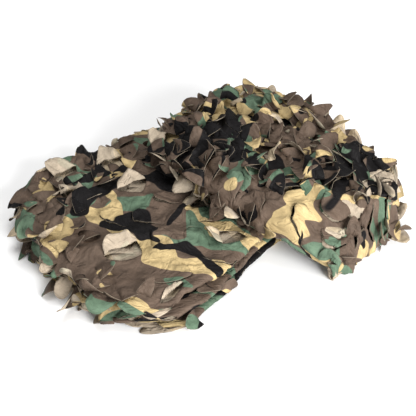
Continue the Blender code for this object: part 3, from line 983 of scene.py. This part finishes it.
plainPanel = {
    "layer": 5,  # the layer whose length along the strip is kept
    "out": 1,  # -1 stands the leaves on the cloth's other side
    "fine": everywhere(True), "way": laid, "flaps": [], "dieCut": closeCut, "inset": 0.0, "farLobesFrom": 0.0,
}
innerPanel = {
    **plainPanel, "layer": 3, "step": 0.0060, "edges": (), "edgeStyle": topEdge, "fine": nearBends,
    "dieCut": dieCut, "styleAt": everywhere(innerLeaves), "drift": 0.0, "relief": [(0.0008, 0.05)],
}
underEnd = 4 * stepAcross - 0.006
panels = {
    "net_pad_top": [{
        **plainPanel, "across": (topStart, sheetWidth), "strip": (0.0, padEnd), "step": 0.0031, "seed": 21,
        "edges": ("near", "last"), "edgeStyle": topEdge, "dieCut": dieCut, "styleAt": padStyle,
        "drift": 0.002, "relief": [(0.0034, 0.075), (0.0020, 0.034), (0.0008, 0.014)], "flaps": padFlaps,
    }],
    "net_bundle_top": [{
        **plainPanel, "across": (topStart - 2 * curtain["hang"], sheetWidth),
        "strip": (bundleStart, stripLength), "step": 0.0029, "seed": 33, "way": laidWithCurtain,
        "edges": ("far", "last"), "edgeStyle": farEdge, "farLobesFrom": topLayer - 0.045,
        "styleAt": bundleStyle, "drift": 0.005, "relief": [(0.0060, 0.090), (0.0030, 0.040), (0.0009, 0.017)],
        "flaps": bundleFlaps,
    }],
    "net_far_turn": [{
        **plainPanel, "across": (0.0, farTurnAcross), "strip": farTurnBand, "layer": 0, "step": 0.0034,
        "seed": 44, "edges": ("first",), "edgeStyle": topEdge, "styleAt": everywhere(openLeaves),
        "drift": 0.004, "relief": [(0.0040, 0.07), (0.0015, 0.030)],
    }],
    "net_under_crown": [{
        **plainPanel, "across": (underEnd, topStart), "strip": (bundleStart, stripLength), "layer": 4,
        "step": 0.0042, "seed": 55, "out": -1, "edges": ("far",), "edgeStyle": innerEdge,
        "styleAt": underStyle, "drift": 0.004, "inset": 0.0045, "relief": [(0.0015, 0.07), (0.0010, 0.030)],
    }],
    "net_layers": [
        {**innerPanel, "across": (0.0, topStart), "strip": (0.0, padEnd), "step": 0.0046, "seed": 61,
         "edges": ("near", "first"), "edgeStyle": nearEdge},
        {**innerPanel, "across": (0.0, sheetWidth), "strip": (padEnd, farTurnBand[0]), "seed": 62,
         "styleAt": None},
        {**innerPanel, "across": (farTurnAcross, sheetWidth), "strip": farTurnBand, "seed": 63},
        {**innerPanel, "across": (0.0, sheetWidth), "strip": (farTurnBand[1], bundleStart), "seed": 64,
         "styleAt": None},
        {**innerPanel, "across": (0.0, underEnd), "strip": (bundleStart, stripLength), "layer": 2,
         "step": 0.0050, "seed": 65, "edges": ("far", "first")},
    ],
}
clothThickness = 0.0005

# the loose leaves: where a piece's leaves crowd, more of them stand up between its own
looseLeaves = {
    "net_bundle_top": {
        "name": "net_bundle_leaves", "openness": bundleOpenness, "spacing": 0.0096, "tilt": (4, 52),
        "roll": 28, "size": (0.78, 1.25), "seed": 6,
    },
    "net_pad_top": {
        "name": "net_pad_leaves", "openness": padOpenness, "spacing": 0.0135, "tilt": (5, 30),
        "roll": 14, "size": (0.75, 1.15), "seed": 8,
    },
    "net_far_turn": {
        "name": "net_turn_leaves", "openness": everywhere(0.7), "spacing": 0.020, "tilt": (14, 62),
        "roll": 25, "size": (0.8, 1.2), "seed": 9,
    },
    "net_layers": {
        "name": "net_side_leaves", "openness": bendOpenness, "spacing": 0.0095, "tilt": (6, 44),
        "roll": 14, "size": (0.62, 1.10), "seed": 11, "backwards": insideOutBend,
    },
}
leafShapes = {
    "count": 8, "rows": 5, "columns": 3, "width": (0.020, 0.032), "length": (0.018, 0.028),
    "curl": (-80, 60), "cup": (0.10, 0.45), "power": (1.8, 3.2), "shift": 0.024, "drawSeed": 12,
    "lowest": 0.0010,
}


def putInScene(name, data):
    made = bpy.data.objects.new(name, data)
    bpy.context.scene.collection.objects.link(made)
    return made


def flatUv(mesh, places):
    layer = mesh.uv_layers.new(name="flatCloth")
    loops = np.zeros(len(mesh.loops), int)
    mesh.loops.foreach_get("vertex_index", loops)
    layer.data.foreach_set("uv", places[loops].astype(np.float32).ravel())
    mesh.polygons.foreach_set("use_smooth", np.ones(len(mesh.polygons), bool))


def makeLeafShapes():
    # a few curled leaves, each with its foot at the origin, in a collection of their own
    draw = random.Random(leafShapes["drawSeed"])
    holder = bpy.data.collections.new("leafShapes")
    rows, columns = leafShapes["rows"], leafShapes["columns"]
    for number in range(leafShapes["count"]):
        width, length = draw.uniform(*leafShapes["width"]), draw.uniform(*leafShapes["length"])
        curl, power = math.radians(draw.uniform(*leafShapes["curl"])), draw.uniform(*leafShapes["power"])
        cup, lean = draw.uniform(*leafShapes["cup"]), draw.uniform(-0.3, 0.3)
        points, flat = [], []
        y = z = 0.0
        for row in range(rows + 1):
            share = row / rows
            half = width / 2 * max(1 - share ** power, 0.10) ** 0.7
            for column in range(columns + 1):
                side = (2 * column / columns - 1) * half
                points.append((side + lean * y, y - math.sin(curl * share) * cup * side * side / width * 2,
                               z + math.cos(curl * share) * cup * side * side / width * 2))
                flat.append((side + lean * y, share * length))
            y += math.cos(curl * (share + 0.5 / rows)) * length / rows
            z += math.sin(curl * (share + 0.5 / rows)) * length / rows
        faces = []
        for row in range(rows):
            for column in range(columns):
                first = row * (columns + 1) + column
                faces.append((first, first + 1, first + columns + 2, first + columns + 1))
        mesh = bpy.data.meshes.new("leafShape")
        mesh.from_pydata(points, [], faces)
        flatUv(mesh, np.array(flat))
        holder.objects.link(bpy.data.objects.new(f"leafShape{number}", mesh))
    return holder


def makeScatterTree():
    # stands leaves on a surface, closest where its openness is highest; each has the print of its foot
    tree, given, result = newGroup("looseLeaves", [
        ("Surface", "Geometry"), ("Leaves", "Collection"), ("Spacing", "Float"), ("Lowest turn", "Vector"),
        ("Highest turn", "Vector"), ("Smallest", "Float"), ("Largest", "Float"), ("Shift", "Vector"),
        ("Seed", "Int"), ("Cloth", "Material"),
    ], [("Leaves", "Geometry")], "GeometryNodeTree")

    def attribute(name, kind):
        node = addNode(tree, "GeometryNodeInputNamedAttribute", {"Name": name}, data_type=kind)
        return node.outputs["Attribute"]

    def randomly(kind, low, high, offset):
        seed = addNode(tree, "ShaderNodeMath", {0: given.outputs["Seed"], 1: offset}).outputs[0]
        node = addNode(tree, "FunctionNodeRandomValue", {"Seed": seed}, data_type=kind)
        wanted = [socket for socket in node.inputs if socket.enabled]
        for socket, value in zip([x for x in wanted if x.name in ("Min", "Max")], (low, high)):
            if isinstance(value, bpy.types.NodeSocket):
                tree.links.new(value, socket)
            else:
                socket.default_value = value
        return next(socket for socket in node.outputs if socket.enabled)

    spread = addNode(tree, "GeometryNodeDistributePointsOnFaces", {
        "Mesh": given.outputs["Surface"], "Distance Min": given.outputs["Spacing"], "Density Max": 9000.0,
        "Density Factor": attribute("openness", "FLOAT"), "Seed": given.outputs["Seed"],
    }, distribute_method="POISSON")
    shift = addNode(tree, "ShaderNodeVectorMath", {
        0: randomly("FLOAT_VECTOR", (-1, -1, 0), (1, 1, 0), 1.0), 1: given.outputs["Shift"],
        2: attribute("place", "FLOAT_VECTOR"),
    }, operation="MULTIPLY_ADD")
    marked = addNode(tree, "GeometryNodeStoreNamedAttribute", {
        "Geometry": spread.outputs["Points"], "Name": "shift", "Value": shift.outputs[0],
    }, data_type="FLOAT_VECTOR", domain="POINT")
    turn = addNode(tree, "FunctionNodeEulerToRotation", {
        0: randomly("FLOAT_VECTOR", given.outputs["Lowest turn"], given.outputs["Highest turn"], 2.0),
    })
    aimed = addNode(tree, "FunctionNodeRotateRotation", {
        0: spread.outputs["Rotation"], 1: turn.outputs[0],
    }, rotation_space="LOCAL")
    shapes = addNode(tree, "GeometryNodeCollectionInfo", {
        "Collection": given.outputs["Leaves"], "Separate Children": True, "Reset Children": True,
    })
    stood = addNode(tree, "GeometryNodeInstanceOnPoints", {
        "Points": marked.outputs[0], "Instance": shapes.outputs[0], "Pick Instance": True,
        "Instance Index": randomly("INT", 0, leafShapes["count"] - 1, 3.0), "Rotation": aimed.outputs[0],
        "Scale": randomly("FLOAT", given.outputs["Smallest"], given.outputs["Largest"], 4.0),
    })
    real = addNode(tree, "GeometryNodeRealizeInstances", {0: stood.outputs[0]})
    moved = addNode(tree, "ShaderNodeVectorMath", {
        0: attribute("flatCloth", "FLOAT_VECTOR"), 1: attribute("shift", "FLOAT_VECTOR"),
    }, operation="ADD")
    laidOut = addNode(tree, "GeometryNodeStoreNamedAttribute", {
        "Geometry": real.outputs[0], "Name": "flatCloth",
    }, data_type="FLOAT2", domain="CORNER")
    tree.links.new(moved.outputs[0], next(x for x in laidOut.inputs if x.name == "Value" and x.enabled))
    coloured = addNode(tree, "GeometryNodeSetMaterial", {
        "Geometry": laidOut.outputs[0], "Material": given.outputs["Cloth"],
    })
    tree.links.new(coloured.outputs[0], result.inputs[0])
    return tree


def addCloth(piece):
    # the sheet's thickness, with the washed reverse under it and the cut edge round it
    piece.data.materials.clear()
    for material in clothMaterials:
        piece.data.materials.append(material)
    solid = piece.modifiers.new("clothThickness", "SOLIDIFY")
    solid.thickness = clothThickness
    solid.offset = 0.0
    solid.material_offset = 1
    solid.material_offset_rim = 2


def ridesOnRoot(piece):
    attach(piece, "root")
    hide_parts("camouflage_net")


def scatterLeaves(style, points, faces, places, leafOf):
    mesh = bpy.data.meshes.new(style["name"])
    if "backwards" in style:
        middles = places[faces].mean(axis=1)
        faces = np.where(style["backwards"](middles[:, 0], middles[:, 1])[:, None], faces[:, ::-1], faces)
    mesh.from_pydata(points.tolist(), [], faces.tolist())
    openness = style["openness"](places[:, 0], places[:, 1]) * (leafOf < 0)
    mesh.attributes.new("openness", "FLOAT", "POINT").data.foreach_set("value", openness.astype(np.float32))
    flat = np.column_stack([places, np.zeros(len(places))]).astype(np.float32)
    mesh.attributes.new("place", "FLOAT_VECTOR", "POINT").data.foreach_set("vector", flat.ravel())
    piece = putInScene(style["name"], mesh)
    scatter = piece.modifiers.new("looseLeaves", "NODES")
    scatter.node_group = scatterTree
    low, high = (math.radians(angle) for angle in style["tilt"])
    roll = math.radians(style["roll"])
    settings = {
        "Leaves": leafCollection, "Spacing": style["spacing"], "Lowest turn": (low, -roll, 0.0),
        "Highest turn": (high, roll, 2 * math.pi), "Smallest": style["size"][0], "Largest": style["size"][1],
        "Shift": (leafShapes["shift"], leafShapes["shift"], 0.0), "Seed": style["seed"],
        "Cloth": clothMaterials[0],
    }
    for socket in scatterTree.interface.items_tree:
        if socket.in_out == "INPUT" and socket.name in settings:
            scatter[socket.identifier] = settings[socket.name]
    depsgraph = bpy.context.evaluated_depsgraph_get()
    result = bpy.data.meshes.new_from_object(piece.evaluated_get(depsgraph), depsgraph=depsgraph)
    piece.modifiers.clear()
    piece.data = result
    for spare in [x.name for x in result.attributes if x.name in ("shift", "openness", "place")]:
        result.attributes.remove(result.attributes[spare])
    bpy.data.meshes.remove(mesh)
    result.name = style["name"]
    corners = np.zeros((len(result.vertices), 3), np.float32)
    result.vertices.foreach_get("co", corners.ravel())
    corners[:, 2] = np.maximum(corners[:, 2], leafShapes["lowest"])
    result.vertices.foreach_set("co", corners.ravel())
    result.polygons.foreach_set("use_smooth", np.ones(len(result.polygons), bool))
    addCloth(piece)
    ridesOnRoot(piece)
    print(style["name"], "points", len(result.vertices), "faces", len(result.polygons))
    return piece


leafCollection = makeLeafShapes()
scatterTree = makeScatterTree()

for name, parts in panels.items():
    laidParts = [layPanel(panel) for panel in parts]
    points, places, leafOf = (np.concatenate([part[k] for part in laidParts]) for k in (0, 2, 3))
    starts = np.cumsum([0] + [len(part[0]) for part in laidParts])
    faces = np.concatenate([part[1] + start for part, start in zip(laidParts, starts)])
    mesh = bpy.data.meshes.new(name)
    mesh.from_pydata(points.tolist(), [], faces.tolist())
    flatUv(mesh, places)
    mesh.validate()
    piece = putInScene(name, mesh)
    addCloth(piece)
    ridesOnRoot(piece)
    if name in looseLeaves:
        scatterLeaves(looseLeaves[name], points, faces, places, leafOf)

for spare in list(leafCollection.objects):
    bpy.data.objects.remove(spare)
bpy.data.collections.remove(leafCollection)
print("sheet laid")

view = {"elevation": 40.0, "distance": 1.5, "target": (0.0, 0.0146, 0.0), "width": 0.5866, "sensor": 36.0}
studio = {"floor": 0.90, "world": 0.37}


def makeFloor():
    mesh = bpy.data.meshes.new("floor")
    mesh.from_pydata([(-6, -6, 0), (6, -6, 0), (6, 6, 0), (-6, 6, 0)], [], [(0, 1, 2, 3)])
    floor = putInScene("floor", mesh)
    material = bpy.data.materials.new("pale_floor")
    material.use_nodes = True
    shader = material.node_tree.nodes["Principled BSDF"]
    grain = addNode(material.node_tree, "ShaderNodeTexNoise", {"Scale": 3.0, "Detail": 2.0})
    tone = addNode(material.node_tree, "ShaderNodeMapRange", {
        0: grain.outputs[0], 1: 0.0, 2: 1.0, 3: studio["floor"] - 0.01, 4: studio["floor"] + 0.01,
    })
    material.node_tree.links.new(tone.outputs[0], shader.inputs["Base Color"])
    shader.inputs["Roughness"].default_value = 0.9
    mesh.materials.append(material)


def makeLight(name, place, size, power):
    light = bpy.data.lights.new(name, "AREA")
    light.shape = "DISK"
    light.size = size
    light.energy = power
    lamp = putInScene(name, light)
    lamp.location = place
    lamp.rotation_euler = (-Vector(place)).to_track_quat("-Z", "Y").to_euler()


makeFloor()
makeLight("overheadSoftbox", (-0.3, 0.3, 2.0), 1.5, 29)
makeLight("lowSoftbox", (1.17, -1.67, 0.82), 1.3, 99)
world = bpy.data.worlds.new("studio")
world.use_nodes = True
world.node_tree.nodes["Background"].inputs[0].default_value = (1, 1, 1, 1)
world.node_tree.nodes["Background"].inputs[1].default_value = studio["world"]
bpy.context.scene.world = world
bpy.context.scene.view_settings.view_transform = "Standard"

cameraData = bpy.data.cameras.new("camera")
camera = putInScene("camera", cameraData)
target = Vector(view["target"])
angle = math.radians(view["elevation"])
camera.location = target + Vector((0, -math.cos(angle), math.sin(angle))) * view["distance"]
camera.rotation_euler = (target - camera.location).to_track_quat("-Z", "Y").to_euler()
cameraData.sensor_width = view["sensor"]
cameraData.lens = view["sensor"] * view["distance"] / view["width"]
bpy.context.scene.camera = camera
print("floor, light and camera placed")
